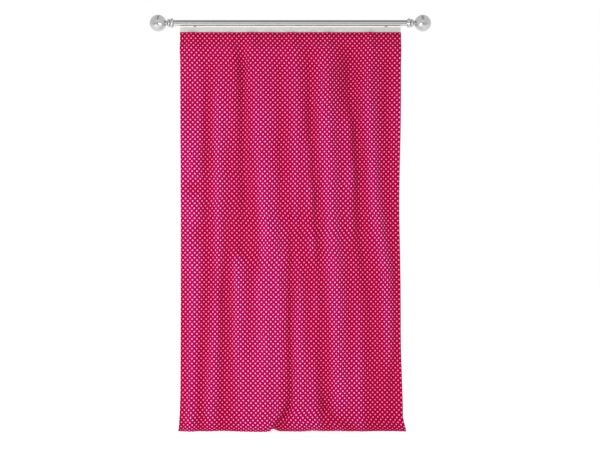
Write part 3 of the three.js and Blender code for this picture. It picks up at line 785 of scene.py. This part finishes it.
def fold_rows(t, heights):
    """Relative fold depth towards the room. t holds, for each height, the places of that row's points."""
    h = heights[:, None]
    t = t - FOLD_SHIFT
    total = np.zeros(t.shape)
    for h0, t0, tall, wide, depth in SWELLS:
        total += depth * (wide / USUAL_HALF) * np.exp(-(((h - h0) / tall) ** 2) - ((t - t0) / wide) ** 2)
    for knots in FOLDS:
        at = np.array([k[0] for k in knots])
        place, half, depth = (np.interp(heights, at, [k[i] for k in knots])[:, None] for i in (1, 2, 3))
        shown = curved(at[0] - 0.09, at[0] + 0.01, h) * (1 - curved(at[-1], at[-1] + 0.08, h))
        if at[0] <= 0.0:
            shown = 1 - curved(at[-1], at[-1] + 0.08, h)
        away = (t - place) / half
        total += depth * (half / USUAL_HALF) * shown * np.exp(-np.power(np.abs(away), 1.8))
    # slow drift of the whole cloth, and slight ripples, so that no stretch is quite flat
    total += 0.22 * np.sin(t * 31 + 2.0 * np.sin(h * 5.0)) * curved(0.03, 0.25, h)
    total += 0.12 * np.sin(t * 67 + 5 * h + 1.3 * np.sin(9 * h))
    total += 0.16 * np.sin(9 * h + t * 12) * np.sin(t * 9 + 4 * h) * curved(0.1, 0.4, h)
    return total


def smoothed_down(rows, reach):
    """Each column averaged over a few rows, so that folds have no kinks."""
    kernel = np.hanning(2 * reach + 3)[1:-1]
    kernel /= kernel.sum()
    padded = np.pad(rows, ((reach, reach), (0, 0)), mode="edge")
    return np.apply_along_axis(lambda c: np.convolve(c, kernel, mode="valid"), 0, padded)


def row_edges(h):
    """The cloth's left and right edge at a height."""
    left = -0.6425 + 0.004 * np.sin(math.pi * np.clip(h * 1.1, 0, 1)) - 0.006 * curved(0.90, 1.0, h)
    right = 0.6445 - 0.010 * np.exp(-(((h - 0.43) / 0.16) ** 2)) + 0.012 * curved(0.75, 0.97, h)
    right += 0.014 * curved(0.965, 1.0, h)
    return left, right


STEEPEST = 0.03  # the least square of the run that a stretch of cloth keeps across


def gathered(relative, step, span, cut):
    """Scales a row of relative depths until cloth of the cut width spans the hung width.

    Returns (x from the left edge, depth)."""
    slope = np.gradient(relative, step)

    def runs(scale):
        return np.sqrt(np.clip(1 - (scale * slope) ** 2, STEEPEST, 1))

    low, high = 0.0, 0.2
    for _ in range(40):
        scale = (low + high) / 2
        low, high = (scale, high) if runs(scale).mean() * cut > span else (low, scale)
    run = runs(low)
    x = np.concatenate([[0], np.cumsum((run[1:] + run[:-1]) / 2 * step)])
    return x * span / x[-1], relative * low


class Hanging:
    """The hung sheet's front face, sampled on a grid and read anywhere between."""

    ROWS, COLUMNS = 300, 701

    def __init__(self):
        across = np.linspace(0, 1, self.COLUMNS)
        down = np.linspace(0, CUT_LENGTH, self.ROWS)
        heights = np.array([(CLOTH_TOP - self.hang(v)[1]) / (CLOTH_TOP - FLOOR_Z) for v in down])
        spread = np.tile(across, (self.ROWS, 1))
        for _ in range(5):
            relative = smoothed_down(fold_rows(spread, heights), 4)
            relative -= relative.mean(axis=1, keepdims=True)
            for j, h in enumerate(heights):
                left, right = row_edges(h)
                x, _ = gathered(relative[j], CUT_WIDTH / (self.COLUMNS - 1), right - left, CUT_WIDTH)
                spread[j] = 0.3 * spread[j] + 0.7 * x / x[-1]
        places = (across * 2 * HEADING_HALF - HEADING_HALF - FIRST_HOOK_X) / HOOK_STEP
        bows = np.sin(math.pi * places) ** 2 * (0.85 + 0.25 * np.sin(across * 23 + 1))
        self.points = np.zeros((self.ROWS, self.COLUMNS, 3))
        self.painted_light = np.zeros((self.ROWS, self.COLUMNS, 1))
        for j, (v, h) in enumerate(zip(down, heights)):
            # at the heading the cloth only bows between its hooks, and the tape takes up some width
            heading = 1 - float(curved(0.014, 0.055, h))
            bowed = bows * np.clip(0.55 + 0.75 * relative[j], 0.04, 2.2)
            row = relative[j] * (1 - heading) + bowed * heading
            left, right = row_edges(h)
            cut = CUT_WIDTH * (0.935 + 0.065 * float(curved(0.014, 0.10, h)))
            step = cut / (self.COLUMNS - 1)
            x, depth = gathered(row, step, right - left, cut)
            forward, z = self.hang(v)
            near_floor = float(curved(STRAIGHT - 0.05, CUT_LENGTH, v))
            # painted light and shade: 1 on the crests that face the room, 0 in the valleys, and lower along
            # the top as painted shade under the pole and rail
            self.painted_light[j, :, 0] = (
                curved(-0.013, 0.015, depth)
                * (0.25 + 0.75 * float(curved(0.0, 0.05, h)))
                * (0.35 + 0.65 * float(curved(0.01, 0.28, h)))
            )
            lift = sum(size * np.exp(-(((across - at) / half) ** 2)) for at, half, size in LIFTS)
            self.points[j, :, 0] = left + x
            reach = self.clear(depth, h) * (1 - 0.45 * near_floor)
            self.points[j, :, 1] = CLOTH_FRONT - 0.98 * forward - reach
            self.points[j, :, 2] = z + lift * near_floor
        self.normals = self.find_normals()

    @staticmethod
    def hang(v):
        forward, drop = turned_hem(max(0.0, v - STRAIGHT))
        return forward, CLOTH_TOP - min(v, STRAIGHT) - drop

    @staticmethod
    def clear(depth, h):
        """Keeps the heading in front of the hooks, where the folds only bow forwards."""
        forwards = depth - depth.min()
        return depth + (forwards - depth) * (1 - float(curved(0.017, 0.085, h)))

    def find_normals(self):
        """Unit vectors that point away from the room."""
        along_v = np.gradient(self.points, axis=0)
        along_u = np.gradient(self.points, axis=1)
        normals = np.cross(along_u, along_v)
        normals /= np.linalg.norm(normals, axis=2, keepdims=True)
        return normals * np.sign(normals[..., 1:2].mean())

    def read(self, grid, u, v):
        i = np.clip(u / CUT_WIDTH * (self.COLUMNS - 1), 0, self.COLUMNS - 1.001)
        j = np.clip(v / CUT_LENGTH * (self.ROWS - 1), 0, self.ROWS - 1.001)
        i0, j0 = int(i), int(j)
        a, b = i - i0, j - j0
        top = grid[j0, i0] * (1 - a) + grid[j0, i0 + 1] * a
        low = grid[j0 + 1, i0] * (1 - a) + grid[j0 + 1, i0 + 1] * a
        return top * (1 - b) + low * b

    def at(self, u, v, behind=0.0):
        """The point at flat (u, v), some way behind the front face."""
        return self.read(self.points, u, v) + self.read(self.normals, u, v) * behind

    def outside(self, u, v, behind):
        """As at(), but u or v may run past the cloth's edge by a little."""
        inner = np.clip((u, v), 0.0, (CUT_WIDTH, CUT_LENGTH))
        point = self.at(*inner, behind)
        for past, step in zip((u, v) - inner, ((0.01, 0), (0, 0.01))):
            if past:
                edge = self.at(*inner) - self.at(*(inner - np.copysign(step, past)))
                point = point + edge / np.linalg.norm(edge) * abs(past)
        return point


hanging = Hanging()


# ---- Cloth pieces ----


def store_painted_light(made, uvs):
    """Painted light and shade on the print: 1 on the crests that face the room, 0 in the valleys, and lower
    along the top.
    """
    painted_layer = made.data.attributes.new("painted_light", "FLOAT", "POINT")
    for vertex, (u, v) in enumerate(uvs):
        inside = min(max(u, 0.0), CUT_WIDTH), min(max(CUT_LENGTH - v, 0.0), CUT_LENGTH)
        painted_layer.data[vertex].value = float(hanging.read(hanging.painted_light, *inside)[0])


def quads(rows, columns):
    """Faces of a grid of points, held row by row."""
    return [
        (j * columns + i, j * columns + i + 1, (j + 1) * columns + i + 1, (j + 1) * columns + i)
        for j in range(rows - 1)
        for i in range(columns - 1)
    ]


def lay_flat(made, uvs):
    layer = made.data.uv_layers.new(name="flat")
    for loop in made.data.loops:
        layer.data[loop.index].uv = uvs[loop.vertex_index]


def solid_sheet(name, grid, uvs, thickness, front, back):
    """A closed sheet from rows of front points: the back lies thickness behind along each point's normal."""
    rows, columns = len(grid), len(grid[0])
    points = np.array(grid)
    normals = np.cross(np.gradient(points, axis=1), np.gradient(points, axis=0))
    normals /= np.maximum(np.linalg.norm(normals, axis=2, keepdims=True), 1e-12)
    behind = points - normals * thickness
    if np.mean((behind - points)[..., 1]) < 0:
        behind = points + normals * thickness
    vertices = [*points.reshape(-1, 3), *behind.reshape(-1, 3)]
    flat = list(uvs) * 2
    half = rows * columns
    faces = []
    for j in range(rows - 1):
        for i in range(columns - 1):
            a = j * columns + i
            face = (a + columns, a + columns + 1, a + 1, a)
            faces.append(face)
            faces.append(tuple(k + half for k in face[::-1]))
    border = [j * columns for j in range(rows)]
    border += [(rows - 1) * columns + i for i in range(1, columns)]
    border += [j * columns + columns - 1 for j in range(rows - 2, -1, -1)]
    border += list(range(columns - 2, 0, -1))
    for k, a in enumerate(border):
        b = border[(k + 1) % len(border)]
        faces.append((b, a, a + half, b + half))
    made = link_mesh(name, vertices, faces, front, back, crease=80)
    lay_flat(made, flat)
    for index, face in enumerate(made.data.polygons):
        face.material_index = index % 2 if index < 2 * (rows - 1) * (columns - 1) else 0
    store_painted_light(made, flat)
    return made


def hang_up(piece, *nodes, slot="printed_cotton"):
    """The piece sways with the panel and narrows as the curtain is drawn."""
    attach(piece, "panel")
    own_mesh(piece)
    if nodes:
        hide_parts(*nodes)


# where the columns stand closer: (place, half-width, gain)
FINE_COLUMNS = [(0.495, 0.05, 3.0), (0.70, 0.05, 1.0), (0.28, 0.04, 0.8)]


def crease_columns(count):
    """Places across the cloth, closer together round the sharp creases."""
    even = np.linspace(0, 1, 2001)
    density = 1 + sum(gain * np.exp(-(((even - at) / wide) ** 2)) for at, wide, gain in FINE_COLUMNS)
    share = np.concatenate([[0], np.cumsum((density[1:] + density[:-1]) / 2)])
    return CUT_WIDTH * np.interp(np.linspace(0, 1, count), share / share[-1], even)


def make_cloth():
    us = crease_columns(232)
    vs = np.concatenate([np.linspace(0, STRAIGHT - 0.10, 150), np.linspace(STRAIGHT - 0.09, CUT_LENGTH, 42)])
    grid = [[hanging.at(u, v) for u in us] for v in vs]
    uvs = [(u, CUT_LENGTH - v) for v in vs for u in us]
    cloth = solid_sheet("cloth_panel", grid, uvs, CLOTH_THICK, FRONT_PRINT, BACK_PRINT)
    hang_up(cloth, "curtain_cloth")
    return cloth


def wrap(width):
    """A hem's section, round the edge and then in: (distance in from the edge, distance behind the front)."""
    fold = arc((0.0, 0.00095), 0.0009, -90, -270, 8)
    flat = [(width * k / 6, 0.00185) for k in range(1, 6)]
    end = [(width - 0.0006, 0.00180), (width, 0.00150)]
    return [*fold, *flat, *end]


def make_side_hem(name, node, right):
    vs = np.linspace(0.001, CUT_LENGTH - BOTTOM_HEM - 0.003, 230)
    section = wrap(SIDE_HEM)

    def across(inwards):
        return CUT_WIDTH - inwards if right else inwards

    grid = [[hanging.outside(across(a), v, behind) for a, behind in section] for v in vs]
    uvs = [(across(-a), CUT_LENGTH - v) for v in vs for a, behind in section]
    if right:
        grid = [row[::-1] for row in grid]
        uvs = [uvs[j * len(section) + i] for j in range(len(vs)) for i in range(len(section) - 1, -1, -1)]
    hem_strip(name, node, grid, uvs)


def make_bottom_hem():
    us = np.linspace(0.0012, CUT_WIDTH - 0.0012, 190)
    section = [(a, behind + 0.00015) for a, behind in wrap(BOTTOM_HEM)]
    grid = [[hanging.outside(u, CUT_LENGTH - a, behind) for u in us] for a, behind in section]
    uvs = [(u, -a) for a, behind in section for u in us]
    hem_strip("bottom_hem_folded", "bottom_hem", grid, uvs)


def hem_strip(name, node, grid, uvs):
    """A hem's strip of cloth, which shows the print on both faces."""
    hang_up(surface_strip(name, grid, uvs, FRONT_PRINT, 0.0006), node)


def surface_strip(name, grid, uvs, material, thickness):
    """A strip of points thickened equally to both sides."""
    rows, columns = len(grid), len(grid[0])
    vertices = [p for row in grid for p in row]
    made = link_mesh(name, vertices, quads(rows, columns), material, crease=80)
    lay_flat(made, uvs)
    if material is FRONT_PRINT:
        store_painted_light(made, uvs)
    thicken(made, thickness)
    return made


def thicken(made, thickness):
    solid = made.modifiers.new("thickness", "SOLIDIFY")
    solid.thickness = thickness
    solid.offset = 0.0
    bpy.context.view_layer.objects.active = made
    bpy.ops.object.modifier_apply(modifier=solid.name)


TAPE_DOWN = 0.008  # from the cloth's top edge
TAPE_WIDTH = 0.026
POCKET_PITCH = 0.0095


def make_tape():
    us = np.linspace(SIDE_HEM + 0.001, CUT_WIDTH - SIDE_HEM - 0.001, 320)
    vs = np.linspace(TAPE_DOWN, TAPE_DOWN + TAPE_WIDTH, 9)
    grid = [[hanging.at(u, v, 0.0014) for u in us] for v in vs]
    uvs = [(u, v) for v in vs for u in us]
    tape = surface_strip("heading_tape_woven", grid, uvs, TAPE, 0.0006)
    hang_up(tape, "heading_tape", slot="tape_white")
    return tape


def make_pocket_band():
    """The row of woven pockets along the tape's middle, shallow between their stitched sides."""
    us = np.linspace(SIDE_HEM + 0.003, CUT_WIDTH - SIDE_HEM - 0.003, 900)
    vs = np.linspace(0.0145, 0.0275, 5)
    behind = [0.00175 + 0.00035 * abs(math.sin(math.pi * u / POCKET_PITCH)) for u in us]
    grid = [[hanging.at(u, v, away) for u, away in zip(us, behind)] for v in vs]
    uvs = [(u, v) for v in vs for u in us]
    hang_up(surface_strip("tape_pockets", grid, uvs, TAPE, 0.00025), slot="tape_white")


def make_hook_pocket(n):
    """The pocket that a hook's prong stands in. It rides with the hook."""
    x = FIRST_HOOK_X + n * HOOK_STEP
    section = [(-0.0044, -0.09545), (-0.0034, -0.09515), (-0.0024, -0.09420), (-0.0014, -0.09325)]
    section.append((0, -0.09300))
    section += [(-a, y) for a, y in section[-2::-1]]
    heights = [-0.0682, -0.0700, -0.0722, -0.0745, -0.0768, -0.0782]
    grid = [[(x + a, y, z) for a, y in section] for z in heights]
    uvs = [(a, z) for z in heights for a, y in section]
    pocket = surface_strip(f"hook_pocket_{n:02d}", grid, uvs, TAPE, 0.0003)
    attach(pocket, f"hanger_{n:02d}")


def make_draw_cord(name, v):
    """A gathering cord that dips in and out of the tape, with a knot at each end."""
    us = np.arange(SIDE_HEM + 0.004, CUT_WIDTH - SIDE_HEM - 0.004, 0.0028)
    path = [hanging.at(u, v, 0.0019 + 0.0005 * math.sin(math.pi * i / 2)) for i, u in enumerate(us)]
    vertices, faces = swept(path, 0.0006, 8)
    for knot in (path[0], path[-1]):
        more, bound = knot_at(Vector(knot))
        faces += [tuple(k + len(vertices) for k in face) for face in bound]
        vertices += more
    cord = link_mesh(name, vertices, faces, CORD, crease=70)
    hang_up(cord, slot="tape_white")


def knot_at(centre):
    """A small overhand knot: three loops of cord round one point."""
    path = []
    for i in range(40):
        t = 2 * math.pi * i / 39
        spread = 0.0011 + 0.0004 * math.cos(1.5 * t)
        rise = 0.0006 + 0.0006 * math.sin(1.5 * t)
        path.append(centre + Vector((spread * math.sin(t), rise, 1.2 * spread * math.cos(2 * t))))
    return swept(path, 0.0005, 7)


STITCH_PITCH, STITCH_R = 0.0038, 0.00028
# (share of the thread's radius, rise in radii) along one stitch
STITCH_RINGS = [(0.35, -0.2), (0.9, 0.3), (1, 0.5), (0.9, 0.3), (0.35, -0.2)]


def stitch_row(start, end, behind):
    """Stitches from one flat point to another, each as its start, middle and end behind the front face."""
    start, end = np.array(start), np.array(end)
    length = np.linalg.norm(end - start)
    count = int(length / STITCH_PITCH)
    ahead = (end - start) / length
    made = []
    for i in range(count):
        a = start + ahead * (i + 0.14) * STITCH_PITCH
        b = start + ahead * (i + 0.86) * STITCH_PITCH
        made.append([hanging.at(*at, behind) for at in (a, (a + b) / 2, b)])
    return made


def make_stitches(name, rows, front):
    """Short raised threads, from stitch_row's points. front is True for the room side."""
    vertices, faces, radius = [], [], STITCH_R
    for a, middle, b in rows:
        a, middle, b = Vector(a), Vector(middle), Vector(b)
        ahead = (b - a).normalized()
        out = Vector((0, -1 if front else 1, 0))
        side = ahead.cross(out).normalized()
        base = len(vertices)
        rings = (a, (a + middle) / 2, middle, (middle + b) / 2, b)
        for p, (share, rise) in zip(rings, STITCH_RINGS):
            for k in range(5):
                turn = 2 * math.pi * k / 5
                round_it = side * math.cos(turn) + out * math.sin(turn)
                vertices.append(p + out * rise * radius + round_it * radius * share)
        faces += tube(len(rings), 5, base)
    made = link_mesh(name, vertices, faces, THREAD, crease=80)
    clean(made, 1e-7)
    hang_up(made)


def make_stitching():
    hem_line = CUT_LENGTH - BOTTOM_HEM + 0.003
    lines = [
        ((SIDE_HEM - 0.003, 0.004), (SIDE_HEM - 0.003, hem_line)),
        ((CUT_WIDTH - SIDE_HEM + 0.003, 0.004), (CUT_WIDTH - SIDE_HEM + 0.003, hem_line)),
        ((0.002, hem_line), (CUT_WIDTH - 0.002, hem_line)),
    ]
    tape_lines = [((SIDE_HEM, v), (CUT_WIDTH - SIDE_HEM, v)) for v in (0.0098, 0.0322)]
    front = [s for a, b in lines + tape_lines for s in stitch_row(a, b, 0.0)]
    make_stitches("stitching_front", front, True)
    back = [s for a, b in lines for s in stitch_row(a, b, 0.0023)]
    make_stitches("stitching_back", back, False)


cloth = make_cloth()
make_side_hem("side_hem_left_folded", "side_hem_left", False)
make_side_hem("side_hem_right_folded", "side_hem_right", True)
make_bottom_hem()
tape = make_tape()
make_pocket_band()
for n in range(HOOKS):
    make_hook_pocket(n)
make_draw_cord("draw_cord_upper", 0.0112)
make_draw_cord("draw_cord_lower", 0.0305)
make_stitching()


# ---- Stage and light ----


def make_floor():
    s = Shader("studio_floor")
    away = s.add("SeparateXYZ", {"Vector": s.place((1, 1, 1))}).outputs["Y"]
    near = s.ranged(away, -5.0, -2.0, 0.0, 1.0, smooth=True)
    s.set(Base_Color=s.mix(near, grey(0.56), grey(0.82)), Roughness=0.9)
    s.set(Specular_IOR_Level=0.0, Emission_Color=grey(1.0))
    s.set(Emission_Strength=s.math("MULTIPLY", near, 0.42))
    size = 14
    corners = [(-size, -size, 0), (size, -size, 0), (size, size, 0), (-size, size, 0)]
    floor = link_mesh("studio_floor", corners, [(0, 1, 2, 3)], s.material)
    floor.location.z = FLOOR_Z - 0.0005


def softbox(name, place, aim, size, power, tint=(1, 1, 1), only_on=None):
    light = bpy.data.lights.new(name, "AREA")
    light.shape = "RECTANGLE"
    light.size, light.size_y = size
    light.energy = power
    light.color = tint
    made = bpy.data.objects.new(name, light)
    made.visible_glossy = only_on is not None
    if only_on:
        made.light_linking.receiver_collection = only_on
    made.location = place
    made.rotation_euler = (Vector(aim) - Vector(place)).to_track_quat("-Z", "Y").to_euler()
    bpy.context.scene.collection.objects.link(made)


def studio_world():
    """White behind the object, and a softly graded room in front of it."""
    world = bpy.data.worlds.new("studio")
    bpy.context.scene.world = world
    world.use_nodes = True
    s = Nodes(world.node_tree)
    split = s.add("SeparateXYZ", {"Vector": s.add("TexCoord").outputs["Generated"]}).outputs
    ramp = s.add("ValToRGB", {"Fac": s.ranged(split["Z"], -1.0, 1.0, 0.0, 1.0)})
    stops = [(0.0, 0.75), (0.30, 0.5), (0.50, 0.58), (0.55, 1.05), (0.67, 1.45), (0.80, 0.95), (1.0, 0.42)]
    elements = ramp.color_ramp.elements
    while len(elements) < len(stops):
        elements.new(0.5)
    for element, (position, value) in zip(elements, stops):
        element.position = position
        element.color = grey(value)
    # a dark flag high in front draws the dark line along the pole; the room's sides are plain grey
    flagged = s.mix(s.band(split["Z"], 0.72, 0.88, 0.16), ramp.outputs["Color"], grey(0.12))
    front = s.mix(s.band(split["X"], -0.11, 0.11, 0.05), grey(0.94), flagged)
    behind = s.ranged(split["Y"], 0.15, 0.75, 0.0, 1.0, smooth=True)
    s.link_or_set(s.tree.nodes["Background"].inputs["Color"], s.mix(behind, front, grey(1.0)))


make_floor()
studio_world()
middle = (0, -0.1, -1.2)
softbox("key_left", (-2.6, -4.3, -0.5), middle, (0.8, 2.4), 122, (0.97, 0.98, 1.07))
softbox("front_fill", (0.4, -6.4, -1.0), middle, (2.0, 2.4), 14)
finials = bpy.data.collections.new("finials")
for end in ("left", "right"):
    finials.objects.link(bpy.data.objects[f"finial_ball_{end}_spun"])
    finials.objects.link(bpy.data.objects[f"finial_neck_{end}_turned"])
softbox("sparkle", (0, -1.28, -0.49), (0, -0.1, -0.25), (0.30, 0.30), 6.2, only_on=finials)
softbox("floor_wash", (0, 1.2, 3.2), (0, 0.6, FLOOR_Z), (4.0, 3.0), 45)
bpy.context.scene.view_settings.view_transform = "Standard"
